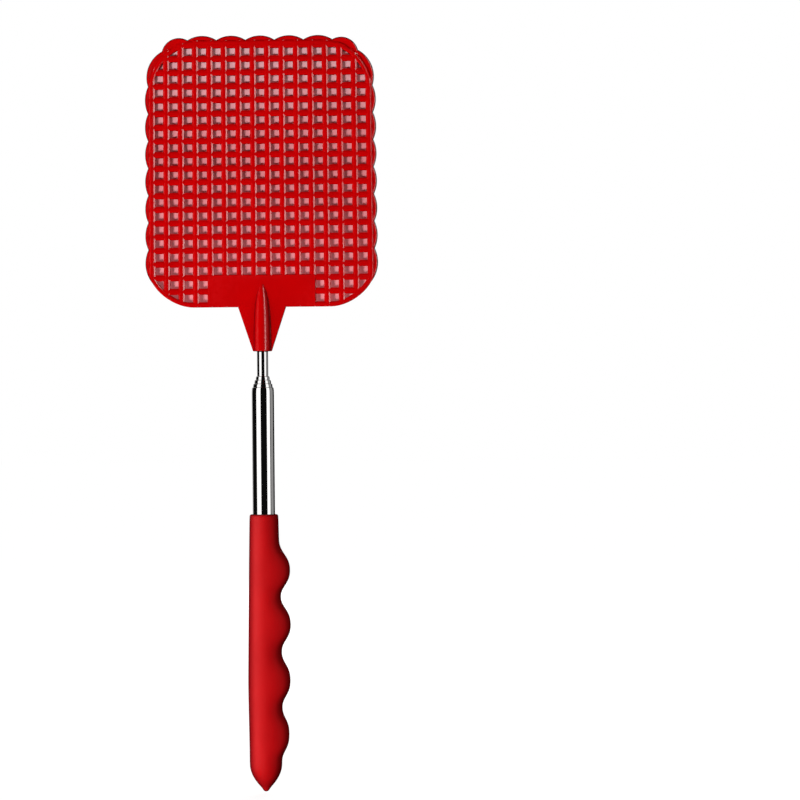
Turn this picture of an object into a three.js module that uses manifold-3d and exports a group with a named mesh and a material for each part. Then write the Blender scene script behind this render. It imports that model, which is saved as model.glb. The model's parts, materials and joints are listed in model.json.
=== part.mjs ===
// A fly swatter on a telescopic pole, in millimetres, with +Z up along the pole.
// The origin is on the pole's axis at the middle of the grip. The swat faces -Y and the finger swells +X.
// It is drawn closed: five steel tubes stand one inside the other, and the swat head sits on the thinnest.

import * as THREE from 'three';
import { mergeVertices } from 'three/addons/utils/BufferGeometryUtils.js';
import Module from 'manifold-3d';

// Pole, from the outer tube to the tip tube.
const TUBE_COUNT = 5;
const OUTER_DIAMETER = 8.4;
const DIAMETER_STEP = 1.05;
const TUBE_WALL = 0.35;
const OUTER_TUBE_FOOT = -38;
const OUTER_TUBE_MOUTH = 99.6;
const MOUTH_STEP = 1.4;
const MOUTH_CLEARANCE = 0.06;
const MOUTH_CRIMP = 1.5;
const ROUND_SEGMENTS = 32;

// Bushes on the feet of the four sliding tubes, and the friction springs round them.
const BUSH_SHOULDER = -26.5;
const BUSH_PITCH = 9.5;
const BUSH_LENGTH = 5;
const STOP_GAP = 0.1;
const BUSH_CLEARANCE = 0.05;
const SPIGOT_CLEARANCE = 0.02;
const WAIST_LENGTH = 3.2;
const WAIST_DEPTH = 0.4;
const SPRING_LENGTH = 3;
const SPRING_THICKNESS = 0.32;
const SPRING_ARC = 150;
const SPRING_SEGMENTS = 8;

// Plug in the foot of the outer tube. The lowest bush stops on it when the pole is shut.
const PLUG_TOP = BUSH_SHOULDER - BUSH_LENGTH - STOP_GAP;
const PLUG_FLANGE = 1.2;

// Grip: a moulded sleeve with four finger swells and a pointed butt.
const GRIP_LENGTH = 104;
const GRIP_TOP = GRIP_LENGTH / 2;
const GRIP_RADIUS_TOP = 5.4;
const GRIP_RADIUS_FULL = 6.45;
const GRIP_RADIUS_BUTT = 6.12;
const GRIP_FULL_LEVEL = -10;
const GRIP_TAPER_POWER = 0.85;
const GRIP_DEPTH_RATIO = 1.06;
const GRIP_BUTT_LENGTH = 10.5;
const GRIP_POINT_RATIO = 0.14;
const GRIP_CLEARANCE = 0.05;
const SWELL_REACH = 9.2;
const SWELL_FULLNESS = 1.5;
const GRIP_LEVELS = 40;

// The finger swells as [level, height].
const FINGER_SWELLS = [
  [31.2, 3.9],
  [10.8, 3.65],
  [-10.2, 3.05],
  [-30.6, 2.7],
];

// Swat: a square mesh paddle with a straight frame and a scalloped flange outside it.
const PADDLE_HALF_WIDTH = 42.2;
const PADDLE_BOTTOM = 129.5;
const PADDLE_TOP = 229.8;
const PADDLE_TOP_CORNER = 18.8;
const CHEEK_LEVEL = 141.2;
const JOWL_ACROSS = 37.5;
const CHIN_ACROSS = 26;
const FRAME_WIDTH = 1.8;
const FRAME_THICKNESS = 2.6;
const MESH_THICKNESS = 1.8;
const FLANGE_THICKNESS = 1.2;
const MESH_COLUMNS = 15;
const MESH_ROWS = 19;
const COLUMN_PITCH = 5.47;
const ROW_PITCH = 5.13;
const TOP_ROW = 225.65;
const HOLE_WIDTH = 3.1;
const HOLE_HEIGHT = 2.9;
const COVERED_MARGIN = 0.3;
const PLAIN_COLUMNS = [4, 10];
const PLAIN_ROWS = 2;

// Scallops: seven lobes up each side, two on each top corner, five across the top.
const SIDE_LOBES = 7;
const SIDE_LOBES_FOOT = 141;
const SIDE_LOBES_TOP = 212.6;
const SIDE_LOBE_RISE = 1.15;
const SIDE_LOBE_STAND_OFF = 0.35;
const TOP_LOBES = 5;
const TOP_LOBES_HALF = 27.5;
const TOP_LOBE_RISE = 1.6;
const TOP_LOBE_STAND_OFF = 0.2;
const CORNER_CUSP = [37.2, 225.9];
const SIDE_CORNER_RISE = 2.6;
const TOP_CORNER_RISE = 2.6;

// Neck: a flat web that narrows from the paddle to the tip tube, with a round boss whose nose fades out on
// the paddle. The boss is given as [radius, height].
const NECK_FOOT = 113.1;
const WEB_HALF_FOOT = 3.5;
const WEB_HALF_TOP = 9;
const WEB_THICKNESS = 2.4;
const WEB_OVERLAP = 1.5;
const NECK_BOSS = [
  [3.45, NECK_FOOT],
  [3.4, 121.3],
  [3.15, 127.8],
  [2.7, 131.3],
  [1.9, 134.5],
  [0.8, 137.3],
];
const SOCKET_DEPTH = 15.5;
const SOCKET_CLEARANCE = 0.05;
const SOCKET_END_GAP = 0.3;

const RED_PLASTIC = { color: 0xcc0006, roughness: 0.28, metalness: 0 };
const RED_RUBBER = { color: 0xa81018, roughness: 0.62, metalness: 0 };
const POLISHED_STEEL = { color: 0xd8d8da, roughness: 0.12, metalness: 1 };
const BRASS = { color: 0xb88d3e, roughness: 0.35, metalness: 1 };
const SPRING_BRONZE = { color: 0xb0703c, roughness: 0.4, metalness: 1 };
const PLUG_PLASTIC = { color: 0x2a2a2c, roughness: 0.6, metalness: 0 };

const wasm = await Module();
wasm.setup();

function solidOf(geometry) {
  const bare = geometry.clone();
  bare.deleteAttribute('normal');
  bare.deleteAttribute('uv');
  const merged = mergeVertices(bare, 1e-5);
  const vertProperties = new Float32Array(merged.attributes.position.array);
  const triVerts = new Uint32Array(merged.index.array);
  return new wasm.Manifold(new wasm.Mesh({ numProp: 3, vertProperties, triVerts }));
}

function geometryOf(solid) {
  const mesh = solid.getMesh();
  const geometry = new THREE.BufferGeometry();
  geometry.setAttribute('position', new THREE.BufferAttribute(mesh.vertProperties, 3));
  geometry.setIndex(new THREE.BufferAttribute(mesh.triVerts, 1));
  geometry.computeVertexNormals();
  return geometry;
}

function part(name, geometry, finish) {
  const mesh = new THREE.Mesh(geometry, new THREE.MeshStandardMaterial(finish));
  mesh.name = name;
  return mesh;
}

// Turns a profile of [radius, height] points about +Z. The points run up the outside.
function turned(profile, segments = ROUND_SEGMENTS) {
  const points = profile.map(([radius, height]) => new THREE.Vector2(radius, height));
  return new THREE.LatheGeometry(points, segments).rotateX(Math.PI / 2);
}

// Extrudes a shape drawn across (x) and up (z) so that it is centred on the plane y = 0.
function slab(shape, thickness, curveSegments = 8) {
  const geometry = new THREE.ExtrudeGeometry(shape, {
    depth: thickness,
    bevelEnabled: false,
    curveSegments,
  });
  return geometry.rotateX(Math.PI / 2).translate(0, thickness / 2, 0);
}

// A closed skin over level sections. place(fraction, angle) gives a point of the skin, centre(fraction) an end's.
function lofted(levels, segments, place, centre) {
  const geometry = new THREE.CylinderGeometry(1, 1, 1, segments, levels);
  const position = geometry.attributes.position;
  for (let i = 0; i < position.count; i += 1) {
    const across = position.getZ(i);
    const deep = position.getX(i);
    const fraction = position.getY(i) + 0.5;
    const onAxis = Math.hypot(across, deep) < 0.5;
    const point = onAxis ? centre(fraction) : place(fraction, Math.atan2(deep, across));
    position.setXYZ(i, point.x, point.y, point.z);
  }
  geometry.computeVertexNormals();
  return geometry;
}

function tubeRadius(index) {
  return (OUTER_DIAMETER - index * DIAMETER_STEP) / 2;
}

function boreRadius(index) {
  return tubeRadius(index) - TUBE_WALL;
}

function tubeMouth(index) {
  return OUTER_TUBE_MOUTH + index * MOUTH_STEP;
}

function bushShoulder(index) {
  return BUSH_SHOULDER + (index - 1) * BUSH_PITCH;
}

// A tube whose mouth is crimped in to hold the next tube's bush.
function crimpedTube(index) {
  const foot = index === 0 ? OUTER_TUBE_FOOT : bushShoulder(index);
  const mouth = tubeMouth(index);
  const outer = tubeRadius(index);
  const bore = boreRadius(index);
  const lip = tubeRadius(index + 1) + MOUTH_CLEARANCE;
  return turned([
    [bore, foot],
    [outer, foot],
    [outer, mouth - MOUTH_CRIMP],
    [outer - 0.06, mouth - 0.8],
    [lip + 0.22, mouth - 0.15],
    [lip + 0.1, mouth],
    [lip, mouth - 0.1],
    [lip, mouth - 0.7],
    [bore, mouth - MOUTH_CRIMP],
    [bore, foot],
  ]);
}

// The tip tube is plain: its upper end is held in the neck's socket.
function tipTube() {
  const index = TUBE_COUNT - 1;
  const foot = bushShoulder(index);
  const head = NECK_FOOT + SOCKET_DEPTH - SOCKET_END_GAP;
  return turned([
    [boreRadius(index), foot],
    [tubeRadius(index), foot],
    [tubeRadius(index), head],
    [boreRadius(index), head],
    [boreRadius(index), foot],
  ]);
}

// A bush has a waist for its springs, and a spigot pressed into the foot of its tube. The next bush stops on it.
function bush(index) {
  const shoulder = bushShoulder(index);
  const spigotTop = shoulder + BUSH_PITCH - BUSH_LENGTH - STOP_GAP;
  const foot = shoulder - BUSH_LENGTH;
  const rim = boreRadius(index - 1) - BUSH_CLEARANCE;
  const waist = rim - WAIST_DEPTH;
  const waistFoot = foot + (BUSH_LENGTH - WAIST_LENGTH) / 2;
  const spigot = boreRadius(index) - SPIGOT_CLEARANCE;
  const hole = spigot / 2;
  return turned([
    [hole, foot],
    [rim, foot],
    [rim, waistFoot],
    [waist, waistFoot],
    [waist, waistFoot + WAIST_LENGTH],
    [rim, waistFoot + WAIST_LENGTH],
    [rim, shoulder - SPIGOT_CLEARANCE],
    [spigot, shoulder - SPIGOT_CLEARANCE],
    [spigot, spigotTop],
    [hole, spigotTop],
    [hole, foot],
  ]);
}

// One half-round friction spring, lying in the waist of the bush on the given side.
function frictionSpring(index, side) {
  const outer = boreRadius(index - 1) - BUSH_CLEARANCE;
  const inner = outer - SPRING_THICKNESS;
  const half = THREE.MathUtils.degToRad(SPRING_ARC) / 2;
  const shape = new THREE.Shape();
  shape.absarc(0, 0, outer, -half, half, false);
  shape.absarc(0, 0, inner, half, -half, true);
  shape.closePath();
  const geometry = new THREE.ExtrudeGeometry(shape, {
    depth: SPRING_LENGTH,
    bevelEnabled: false,
    curveSegments: SPRING_SEGMENTS,
  });
  const foot = bushShoulder(index) - (BUSH_LENGTH + SPRING_LENGTH) / 2;
  return geometry.rotateZ(side * Math.PI / 2).translate(0, 0, foot);
}

function basePlug() {
  const body = boreRadius(0) - SPIGOT_CLEARANCE;
  const seat = OUTER_TUBE_FOOT - SPIGOT_CLEARANCE;
  return turned([
    [0, seat - PLUG_FLANGE],
    [tubeRadius(0), seat - PLUG_FLANGE],
    [tubeRadius(0), seat],
    [body, seat],
    [body, PLUG_TOP],
    [0, PLUG_TOP],
  ]);
}

// How far the finger side stands out beyond the round sleeve at a height.
function fingerSwell(z) {
  const swells = FINGER_SWELLS.map(([level, height]) => {
    const reach = Math.min(1, Math.abs(z - level) / SWELL_REACH) ** SWELL_FULLNESS;
    return height * Math.cos(reach * Math.PI / 2) ** 2;
  });
  return Math.max(...swells);
}

// The sleeve widens downwards from its top, and narrows a little again towards the butt.
function gripRadius(z) {
  const down = Math.min(1, (GRIP_TOP - z) / (GRIP_TOP - GRIP_FULL_LEVEL)) ** GRIP_TAPER_POWER;
  const narrowing = THREE.MathUtils.smoothstep(-z, -GRIP_FULL_LEVEL, GRIP_TOP - GRIP_BUTT_LENGTH);
  const sleeve = THREE.MathUtils.lerp(GRIP_RADIUS_TOP, GRIP_RADIUS_FULL, down)
    - narrowing * (GRIP_RADIUS_FULL - GRIP_RADIUS_BUTT);
  const butt = Math.min(1, (z + GRIP_TOP) / GRIP_BUTT_LENGTH);
  return sleeve * Math.max(GRIP_POINT_RATIO, 1 - (1 - butt) ** 2);
}

function grip() {
  const height = (fraction) => GRIP_LENGTH * (fraction - 0.5);
  const skin = (fraction, angle) => {
    const z = height(fraction);
    const radius = gripRadius(z);
    const fingerSide = Math.max(0, Math.cos(angle));
    const across = (radius + fingerSwell(z) * fingerSide) * Math.cos(angle);
    return new THREE.Vector3(across, radius * GRIP_DEPTH_RATIO * Math.sin(angle), z);
  };
  const centre = (fraction) => new THREE.Vector3(0, 0, height(fraction));
  const body = solidOf(lofted(GRIP_LEVELS, ROUND_SEGMENTS, skin, centre));
  const floor = OUTER_TUBE_FOOT - PLUG_FLANGE - 0.3;
  const boreProfile = [
    [0, floor],
    [tubeRadius(0) + GRIP_CLEARANCE, floor],
    [tubeRadius(0) + GRIP_CLEARANCE, GRIP_TOP + 1],
    [0, GRIP_TOP + 1],
  ];
  return geometryOf(body.subtract(solidOf(turned(boreProfile))));
}

// The paddle's straight-sided outline, set in by a distance: square shoulders, round top, soft bottom corners.
function paddleOutline(inset) {
  const side = PADDLE_HALF_WIDTH - inset;
  const top = PADDLE_TOP - inset;
  const bottom = PADDLE_BOTTOM + inset;
  const corner = PADDLE_TOP_CORNER - inset;
  const cheek = [side, CHEEK_LEVEL + 0.2 * inset];
  const jowl = [JOWL_ACROSS - 0.67 * inset, bottom];
  const chin = [CHIN_ACROSS, bottom];
  const shape = new THREE.Shape();
  shape.moveTo(-chin[0], chin[1]);
  shape.lineTo(chin[0], chin[1]);
  shape.quadraticCurveTo(jowl[0], jowl[1], cheek[0], cheek[1]);
  shape.absarc(side - corner, top - corner, corner, 0, Math.PI / 2, false);
  shape.absarc(corner - side, top - corner, corner, Math.PI / 2, Math.PI, false);
  shape.lineTo(-cheek[0], cheek[1]);
  shape.quadraticCurveTo(-jowl[0], jowl[1], -chin[0], chin[1]);
  return shape;
}

// Adds one scallop: the arc from the path's last point to an end, standing out by its rise.
function addLobe(path, end, rise) {
  const start = path.currentPoint.clone();
  const chord = end.clone().sub(start);
  const half = chord.length() / 2;
  const radius = (half * half + rise * rise) / (2 * rise);
  const inward = new THREE.Vector2(-chord.y, chord.x).normalize();
  const centre = start.clone().lerp(end, 0.5).addScaledVector(inward, radius - rise);
  const from = start.clone().sub(centre).angle();
  const to = end.clone().sub(centre).angle();
  path.absarc(centre.x, centre.y, radius, from, to, false);
}

// The flange: scallops up one side, over the top and down the other, closed along the middle of the frame.
function scallopShape() {
  const side = PADDLE_HALF_WIDTH + SIDE_LOBE_STAND_OFF;
  const top = PADDLE_TOP + TOP_LOBE_STAND_OFF;
  const shape = new THREE.Shape();
  shape.moveTo(side, SIDE_LOBES_FOOT);
  for (let i = 1; i <= SIDE_LOBES; i += 1) {
    const z = THREE.MathUtils.lerp(SIDE_LOBES_FOOT, SIDE_LOBES_TOP, i / SIDE_LOBES);
    addLobe(shape, new THREE.Vector2(side, z), SIDE_LOBE_RISE);
  }
  addLobe(shape, new THREE.Vector2(...CORNER_CUSP), SIDE_CORNER_RISE);
  addLobe(shape, new THREE.Vector2(TOP_LOBES_HALF, top), TOP_CORNER_RISE);
  for (let i = 1; i <= TOP_LOBES; i += 1) {
    const x = THREE.MathUtils.lerp(TOP_LOBES_HALF, -TOP_LOBES_HALF, i / TOP_LOBES);
    addLobe(shape, new THREE.Vector2(x, top), TOP_LOBE_RISE);
  }
  addLobe(shape, new THREE.Vector2(-CORNER_CUSP[0], CORNER_CUSP[1]), TOP_CORNER_RISE);
  addLobe(shape, new THREE.Vector2(-side, SIDE_LOBES_TOP), SIDE_CORNER_RISE);
  for (let i = SIDE_LOBES - 1; i >= 0; i -= 1) {
    const z = THREE.MathUtils.lerp(SIDE_LOBES_FOOT, SIDE_LOBES_TOP, i / SIDE_LOBES);
    addLobe(shape, new THREE.Vector2(-side, z), SIDE_LOBE_RISE);
  }
  const middle = FRAME_WIDTH / 2;
  const inner = PADDLE_HALF_WIDTH - middle;
  const innerTop = PADDLE_TOP - middle;
  const corner = PADDLE_TOP_CORNER - middle;
  shape.lineTo(-inner, SIDE_LOBES_FOOT);
  shape.absarc(corner - inner, innerTop - corner, corner, Math.PI, Math.PI / 2, true);
  shape.absarc(inner - corner, innerTop - corner, corner, Math.PI / 2, 0, true);
  shape.lineTo(inner, SIDE_LOBES_FOOT);
  shape.closePath();
  return shape;
}

function isPlain(column, row) {
  const inPlainRows = row >= MESH_ROWS - PLAIN_ROWS;
  return inPlainRows && column >= PLAIN_COLUMNS[0] && column <= PLAIN_COLUMNS[1];
}

function insideOutline(x, z, outline) {
  let inside = false;
  for (let i = 0, j = outline.length - 1; i < outline.length; j = i, i += 1) {
    const a = outline[i];
    const b = outline[j];
    const crosses = (a.y > z) !== (b.y > z);
    if (crosses && x < ((b.x - a.x) * (z - a.y)) / (b.y - a.y) + a.x) {
      inside = !inside;
    }
  }
  return inside;
}

// A hole is left out where the frame's corner covers it whole.
function reachesOpening(x, z, opening) {
  const sides = [x - HOLE_WIDTH / 2, x + HOLE_WIDTH / 2];
  const ends = [z - HOLE_HEIGHT / 2, z + HOLE_HEIGHT / 2];
  return sides.some((px) => ends.some((pz) => insideOutline(px, pz, opening)));
}

function holeCutters() {
  const opening = paddleOutline(FRAME_WIDTH + COVERED_MARGIN).getPoints(12);
  const cutters = [];
  for (let row = 0; row < MESH_ROWS; row += 1) {
    const z = TOP_ROW - row * ROW_PITCH;
    for (let column = 0; column < MESH_COLUMNS; column += 1) {
      const x = (column - (MESH_COLUMNS - 1) / 2) * COLUMN_PITCH;
      if (!isPlain(column, row) && reachesOpening(x, z, opening)) {
        const hole = new THREE.BoxGeometry(HOLE_WIDTH, 2 * MESH_THICKNESS, HOLE_HEIGHT);
        cutters.push(solidOf(hole.translate(x, 0, z)));
      }
    }
  }
  return cutters;
}

// The mesh reaches the middle of the frame, which then closes the part of any corner hole that lies under it.
function meshPlate() {
  const plate = solidOf(slab(paddleOutline(FRAME_WIDTH / 2), MESH_THICKNESS));
  return plate.subtract(wasm.Manifold.union(holeCutters()));
}

function frameRing() {
  const outline = paddleOutline(0);
  outline.holes.push(new THREE.Path(paddleOutline(FRAME_WIDTH).getPoints(8)));
  return solidOf(slab(outline, FRAME_THICKNESS));
}

function neckWeb() {
  const top = PADDLE_BOTTOM + WEB_OVERLAP;
  const shape = new THREE.Shape();
  shape.moveTo(-WEB_HALF_FOOT, NECK_FOOT);
  shape.lineTo(WEB_HALF_FOOT, NECK_FOOT);
  shape.lineTo(WEB_HALF_TOP, PADDLE_BOTTOM);
  shape.lineTo(WEB_HALF_TOP, top);
  shape.lineTo(-WEB_HALF_TOP, top);
  shape.lineTo(-WEB_HALF_TOP, PADDLE_BOTTOM);
  shape.closePath();
  return solidOf(slab(shape, WEB_THICKNESS));
}

function neckBoss() {
  const nose = NECK_BOSS[NECK_BOSS.length - 1][1];
  return solidOf(turned([[0, NECK_FOOT], ...NECK_BOSS, [0, nose]]));
}

function tubeSocket() {
  const radius = tubeRadius(TUBE_COUNT - 1) + SOCKET_CLEARANCE;
  return solidOf(turned([
    [0, NECK_FOOT - 1],
    [radius, NECK_FOOT - 1],
    [radius, NECK_FOOT + SOCKET_DEPTH],
    [0, NECK_FOOT + SOCKET_DEPTH],
  ]));
}

// Frame, mesh, flange and neck are one moulding.
function swatHead() {
  const flange = solidOf(slab(scallopShape(), FLANGE_THICKNESS, 6));
  const solids = [meshPlate(), frameRing(), flange, neckWeb(), neckBoss()];
  const body = wasm.Manifold.union(solids);
  return geometryOf(body.subtract(tubeSocket()));
}

function flySwatter() {
  const swatter = new THREE.Group();
  swatter.add(part('grip', grip(), RED_RUBBER));
  swatter.add(part('base_plug', basePlug(), PLUG_PLASTIC));
  for (let index = 0; index < TUBE_COUNT - 1; index += 1) {
    swatter.add(part(`tube_${index + 1}`, crimpedTube(index), POLISHED_STEEL));
  }
  swatter.add(part(`tube_${TUBE_COUNT}`, tipTube(), POLISHED_STEEL));
  for (let index = 1; index < TUBE_COUNT; index += 1) {
    swatter.add(part(`bush_${index + 1}`, bush(index), BRASS));
    swatter.add(part(`spring_${index + 1}_front`, frictionSpring(index, -1), SPRING_BRONZE));
    swatter.add(part(`spring_${index + 1}_back`, frictionSpring(index, 1), SPRING_BRONZE));
  }
  swatter.add(part('swat_head', swatHead(), RED_PLASTIC));
  return swatter;
}

export default flySwatter();
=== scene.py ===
"""A fly swatter on a telescopic pole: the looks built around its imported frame.

Every piece is modelled in millimetres, then brought to metres where it stands in the frame.
"""

import json
import logging
import math
from dataclasses import dataclass, field
from enum import Enum
from typing import Callable, Iterable

import bpy
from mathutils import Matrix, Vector

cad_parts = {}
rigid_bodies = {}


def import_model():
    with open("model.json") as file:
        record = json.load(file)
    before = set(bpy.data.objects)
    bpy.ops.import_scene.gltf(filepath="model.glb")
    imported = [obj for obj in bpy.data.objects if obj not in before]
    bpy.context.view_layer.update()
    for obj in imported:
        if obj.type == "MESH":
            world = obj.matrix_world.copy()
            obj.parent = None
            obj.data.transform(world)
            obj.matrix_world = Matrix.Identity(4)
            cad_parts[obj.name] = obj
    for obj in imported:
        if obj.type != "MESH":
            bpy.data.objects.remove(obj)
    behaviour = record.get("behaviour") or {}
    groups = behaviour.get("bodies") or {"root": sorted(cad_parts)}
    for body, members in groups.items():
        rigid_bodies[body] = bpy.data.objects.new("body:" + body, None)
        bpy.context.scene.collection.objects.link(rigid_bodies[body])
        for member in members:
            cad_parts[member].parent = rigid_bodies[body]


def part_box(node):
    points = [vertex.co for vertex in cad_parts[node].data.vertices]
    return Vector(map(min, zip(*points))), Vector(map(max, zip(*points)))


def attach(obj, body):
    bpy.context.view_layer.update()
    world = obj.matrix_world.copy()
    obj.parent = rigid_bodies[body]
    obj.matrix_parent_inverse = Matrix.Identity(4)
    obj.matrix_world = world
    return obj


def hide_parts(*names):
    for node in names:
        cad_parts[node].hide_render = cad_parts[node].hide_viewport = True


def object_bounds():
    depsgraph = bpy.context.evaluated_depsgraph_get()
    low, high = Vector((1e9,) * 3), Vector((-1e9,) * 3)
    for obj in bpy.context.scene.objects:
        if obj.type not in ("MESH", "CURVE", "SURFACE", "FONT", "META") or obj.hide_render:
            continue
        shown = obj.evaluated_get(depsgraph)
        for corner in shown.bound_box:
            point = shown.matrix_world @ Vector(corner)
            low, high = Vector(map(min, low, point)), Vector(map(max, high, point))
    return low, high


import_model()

LOG = logging.getLogger("fly_swatter")
MM = 0.001
CLOSE = 1e-3
# The gaps of pressed and sliding fits in millimetres, and the angle in degrees of a cut edge.
SPIGOT_GAP = 0.02
SLIDE_GAP = 0.05
CUT_EDGE = 50.0
CAD_BOX = [list(corner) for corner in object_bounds()]

Profile = list[tuple[float, float]]


class Pick(Enum):
    """Which elements of a mesh a selection is made of."""

    VERTS = "VERT"
    FACES = "FACE"


class Cut(Enum):
    """How one closed solid acts on another."""

    JOIN = "UNION"
    TAKE_AWAY = "DIFFERENCE"
    KEEP_SHARED = "INTERSECT"


# ---------------------------------------------------------------------------------------------
# Bench work: small modelling steps that every sub-assembly uses.
# ---------------------------------------------------------------------------------------------


def clear_selection() -> None:
    """Deselects every object, so that the next operator acts on its own piece only."""
    for item in bpy.context.view_layer.objects:
        item.select_set(False)
    bpy.context.view_layer.objects.active = None


def take(piece: bpy.types.Object) -> bpy.types.Object:
    """Makes one piece the only selected and active object.

    Args:
        piece: The object to work on.

    Returns:
        The same object.
    """
    clear_selection()
    piece.select_set(True)
    bpy.context.view_layer.objects.active = piece
    return piece


def box_mm(node: str) -> tuple[Vector, Vector]:
    """Gives a CAD node's lowest and highest corners in millimetres."""
    low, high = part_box(node)
    return low / MM, high / MM


def pick(piece: bpy.types.Object, kind: Pick, test: Callable[[Vector], bool]) -> None:
    """Selects the elements of a piece whose middle passes a test, and nothing else.

    Args:
        piece: The piece, in object mode.
        kind: Whether vertices or faces are tested.
        test: Says whether an element with this middle point is wanted.
    """
    take(piece)
    bpy.context.tool_settings.mesh_select_mode = (kind is Pick.VERTS, False, kind is Pick.FACES)
    bpy.ops.object.mode_set(mode="EDIT")
    bpy.ops.mesh.select_all(action="DESELECT")
    bpy.ops.object.mode_set(mode="OBJECT")
    mesh = piece.data
    if kind is Pick.VERTS:
        for vert in mesh.vertices:
            vert.select = test(vert.co)
    else:
        for face in mesh.polygons:
            face.select = test(face.center)
    bpy.ops.object.mode_set(mode="EDIT")


def leave_edit() -> None:
    """Goes back to object mode."""
    bpy.ops.object.mode_set(mode="OBJECT")


def edit_all(piece: bpy.types.Object) -> None:
    """Goes into edit mode with the whole mesh selected."""
    take(piece)
    bpy.ops.object.mode_set(mode="EDIT")
    bpy.ops.mesh.select_all(action="SELECT")


def make_tidy(piece: bpy.types.Object, merge: float = CLOSE) -> None:
    """Merges doubled vertices and turns the faces of a closed piece outwards."""
    edit_all(piece)
    bpy.ops.mesh.remove_doubles(threshold=merge)
    bpy.ops.mesh.normals_make_consistent(inside=False)
    leave_edit()


def apply_modifier(piece: bpy.types.Object, kind: str, **settings: object) -> None:
    """Adds a modifier with these settings and applies it at once.

    Args:
        piece: The piece to change.
        kind: The modifier's type.
        **settings: Its properties by name.
    """
    take(piece)
    modifier = piece.modifiers.new(kind.lower(), kind)
    for name, value in settings.items():
        setattr(modifier, name, value)
    bpy.ops.object.modifier_apply(modifier=modifier.name)


def round_edges(piece: bpy.types.Object, width: float, segments: int = 2, angle: float = 30) -> None:
    """Rounds every edge sharper than an angle in degrees."""
    apply_modifier(
        piece,
        "BEVEL",
        width=width,
        segments=segments,
        limit_method="ANGLE",
        angle_limit=math.radians(angle),
    )


def combine(piece: bpy.types.Object, others: Iterable[bpy.types.Object], cut: Cut) -> None:
    """Acts on a piece with closed solids, one after another, and deletes them.

    Args:
        piece: The piece that is kept.
        others: The solids used up.
        cut: Whether they are joined, taken away or keep only what they share with it.
    """
    others = list(others)
    for other in others:
        apply_modifier(piece, "BOOLEAN", operation=cut.value, solver="MANIFOLD", object=other)
    clear_selection()
    for other in others:
        other.select_set(True)
    bpy.ops.object.delete()


def copy_of(piece: bpy.types.Object, offset: Vector = Vector()) -> bpy.types.Object:
    """Copies a piece with a mesh of its own, moved by an offset."""
    twin = piece.copy()
    twin.data = piece.data.copy()
    twin.location = piece.location + offset
    bpy.context.scene.collection.objects.link(twin)
    take(twin)
    bpy.ops.object.transform_apply(location=True, rotation=True, scale=True)
    return twin


def turned(profile: Profile, vertices: int = 64, looped: bool = True) -> bpy.types.Object:
    """Raises a ring of edges through a profile about the Z axis.

    Args:
        profile: Points of (radius, height). A looped one comes back to its first point.
        vertices: How many sides the ring has.
        looped: Whether the last ring closes on the first. If not, both ends are capped.

    Returns:
        The closed solid.
    """
    clear_selection()
    radius, height = profile[0]
    bpy.ops.mesh.primitive_circle_add(
        vertices=vertices,
        radius=radius,
        location=(0, 0, height),
        fill_type="NOTHING" if looped else "NGON",
    )
    piece = bpy.context.object
    bpy.ops.object.transform_apply(location=True)
    bpy.ops.object.mode_set(mode="EDIT")
    for next_radius, next_height in profile[1:]:
        rise = (0, 0, next_height - height)
        bpy.ops.mesh.extrude_region_move(TRANSFORM_OT_translate={"value": rise})
        ratio = next_radius / radius
        bpy.ops.transform.resize(value=(ratio, ratio, 1), center_override=(0, 0, next_height))
        radius, height = next_radius, next_height
    leave_edit()
    make_tidy(piece, CLOSE * 0.1)
    return piece


def block(low: Vector, high: Vector) -> bpy.types.Object:
    """Makes a block between two corners."""
    clear_selection()
    bpy.ops.mesh.primitive_cube_add(size=1, location=(low + high) / 2, scale=high - low)
    bpy.ops.object.transform_apply(location=True, rotation=True, scale=True)
    return bpy.context.object


# ---------------------------------------------------------------------------------------------
# Shader groups: effects that several finishes share.
# ---------------------------------------------------------------------------------------------


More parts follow.
